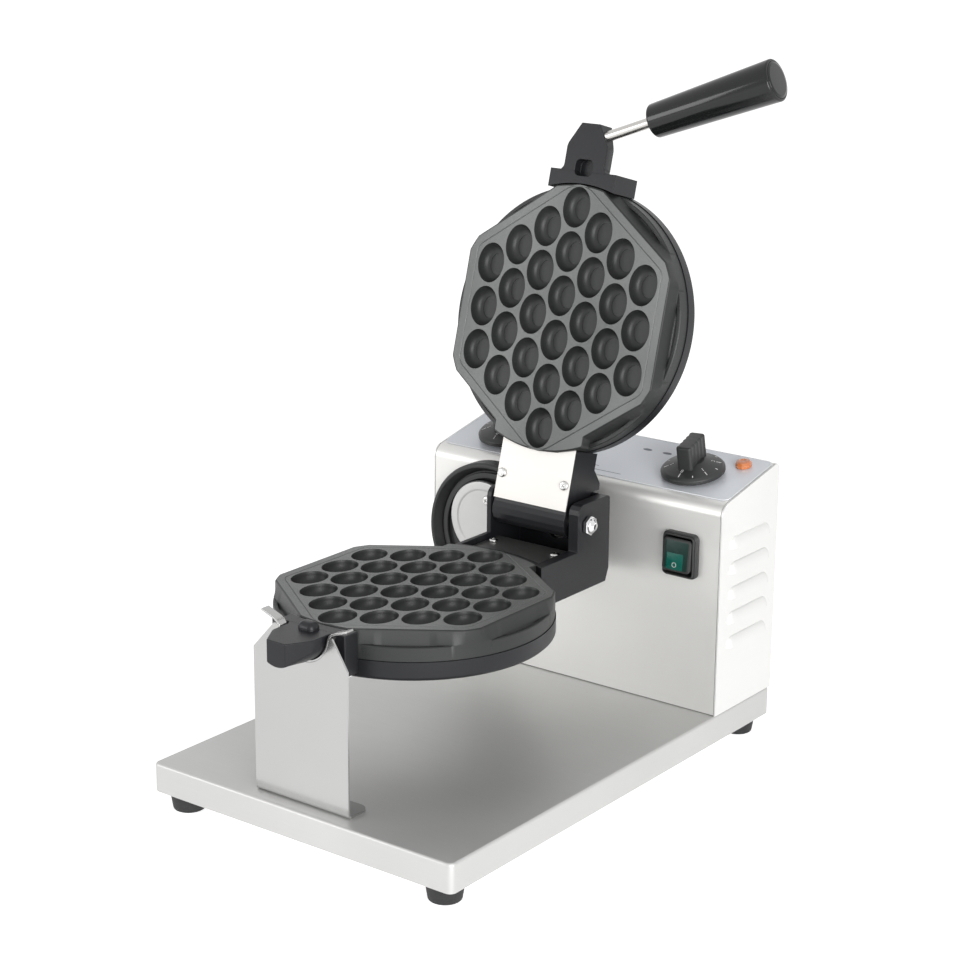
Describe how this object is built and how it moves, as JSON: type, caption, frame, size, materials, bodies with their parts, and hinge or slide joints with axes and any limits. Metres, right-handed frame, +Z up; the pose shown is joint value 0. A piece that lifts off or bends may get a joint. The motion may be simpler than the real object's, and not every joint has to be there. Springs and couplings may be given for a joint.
{
  "type": "bubble waffle maker",
  "caption": "Countertop bubble waffle maker: hinged round plates with oval cells in a turning head, a front cradle on a flat steel base, and a rear control box.",
  "frame": {"origin": "centre of the base's underside, on the bottom plate, level with the tops of the feet", "axes": "+Z up, -Y the front where the cradle stands, +X to the right of someone facing the front"},
  "size_m": [0.2887, 0.4323, 0.5203],
  "materials": {
    "brushed_steel": "brushed stainless sheet",
    "polished_steel": "smooth satin stainless sheet",
    "screw_steel": "bright pan-head screws",
    "chrome": "bright chrome",
    "coated_aluminium": "cast aluminium with a dark grey non-stick coating",
    "black_paint": "satin black heat-proof paint",
    "black_plastic": "satin black moulded plastic",
    "grip_plastic": "glossy black phenolic grip",
    "rubber": "matt black rubber",
    "label_film": "grey-blue printed film, left bare",
    "amber_lens": "faceted amber lens",
    "green_lens": "dark green translucent rocker",
    "ceramic": "unglazed electrical ceramic",
    "element_steel": "heat-darkened sheath of the heating rod"
  },
  "bodies": {
    "base": {"base_tray": "brushed_steel", "bottom_plate": "brushed_steel", "foot_front_left": "rubber", "foot_front_right": "rubber", "foot_back_left": "rubber", "foot_back_right": "rubber", "front_stand": "polished_steel", "cradle_strip": "polished_steel", "stand_screw_1": "screw_steel", "stand_screw_2": "screw_steel", "housing_wrap": "polished_steel", "side_panel_right": "polished_steel", "side_panel_left": "polished_steel", "control_label": "label_film", "timer_body": "black_plastic", "thermostat_body": "ceramic", "indicator_lamp": "amber_lens", "switch_frame": "black_plastic", "port_ring": "black_plastic", "port_lid": "polished_steel", "port_screw_1": "screw_steel", "port_screw_2": "screw_steel", "bearing_flange": "brushed_steel", "terminal_block": "ceramic", "cord_gland": "black_plastic"},
    "head": {"turning_shaft": "brushed_steel", "shaft_collar": "brushed_steel", "yoke": "black_paint", "lower_cover_plate": "polished_steel", "lower_cover_screw_1": "screw_steel", "lower_cover_screw_2": "screw_steel", "hinge_shaft": "chrome", "hinge_cap_right": "chrome", "hinge_cap_left": "chrome", "lower_cooking_plate": "coated_aluminium", "lower_heating_element": "element_steel", "lower_back_shell": "black_paint", "lower_front_block": "black_paint"},
    "lid": {"upper_arm": "black_paint", "upper_cover_plate": "polished_steel", "upper_cover_screw_1": "screw_steel", "upper_cover_screw_2": "screw_steel", "upper_cooking_plate": "coated_aluminium", "upper_heating_element": "element_steel", "upper_back_shell": "black_paint", "upper_front_block": "black_paint", "handle_rod": "chrome", "handle_grip": "grip_plastic", "handle_end_cap": "grip_plastic"},
    "timer_dial": {"timer_knob": "black_plastic"},
    "heat_dial": {"heat_knob": "black_plastic"},
    "rocker": {"switch_rocker": "green_lens"}
  },
  "joints": [
    {"name": "head_turn", "type": "hinge", "parent": "base", "child": "head", "pos_m": [0, 0.1, 0.1483], "axis": [0, 1, 0], "range_deg": [0, 80]},
    {"name": "lid_hinge", "type": "hinge", "parent": "head", "child": "lid", "pos_m": [0, 0.07505, 0.1655], "axis": [1, 0, 0], "range_deg": [0, 105.3]},
    {"name": "timer_turn", "type": "hinge", "parent": "base", "child": "timer_dial", "pos_m": [-0.086, 0.156, 0.19249], "axis": [0, 0.2132, -0.977], "range_deg": [0, 300]},
    {"name": "heat_turn", "type": "hinge", "parent": "base", "child": "heat_dial", "pos_m": [0.086, 0.156, 0.19249], "axis": [0, 0.2132, -0.977], "range_deg": [0, 300]},
    {"name": "rocker_tip", "type": "hinge", "parent": "base", "child": "rocker", "pos_m": [0.0995, 0.12225, 0.1429], "axis": [1, 0, 0], "range_deg": [0, 14]}
  ]
}
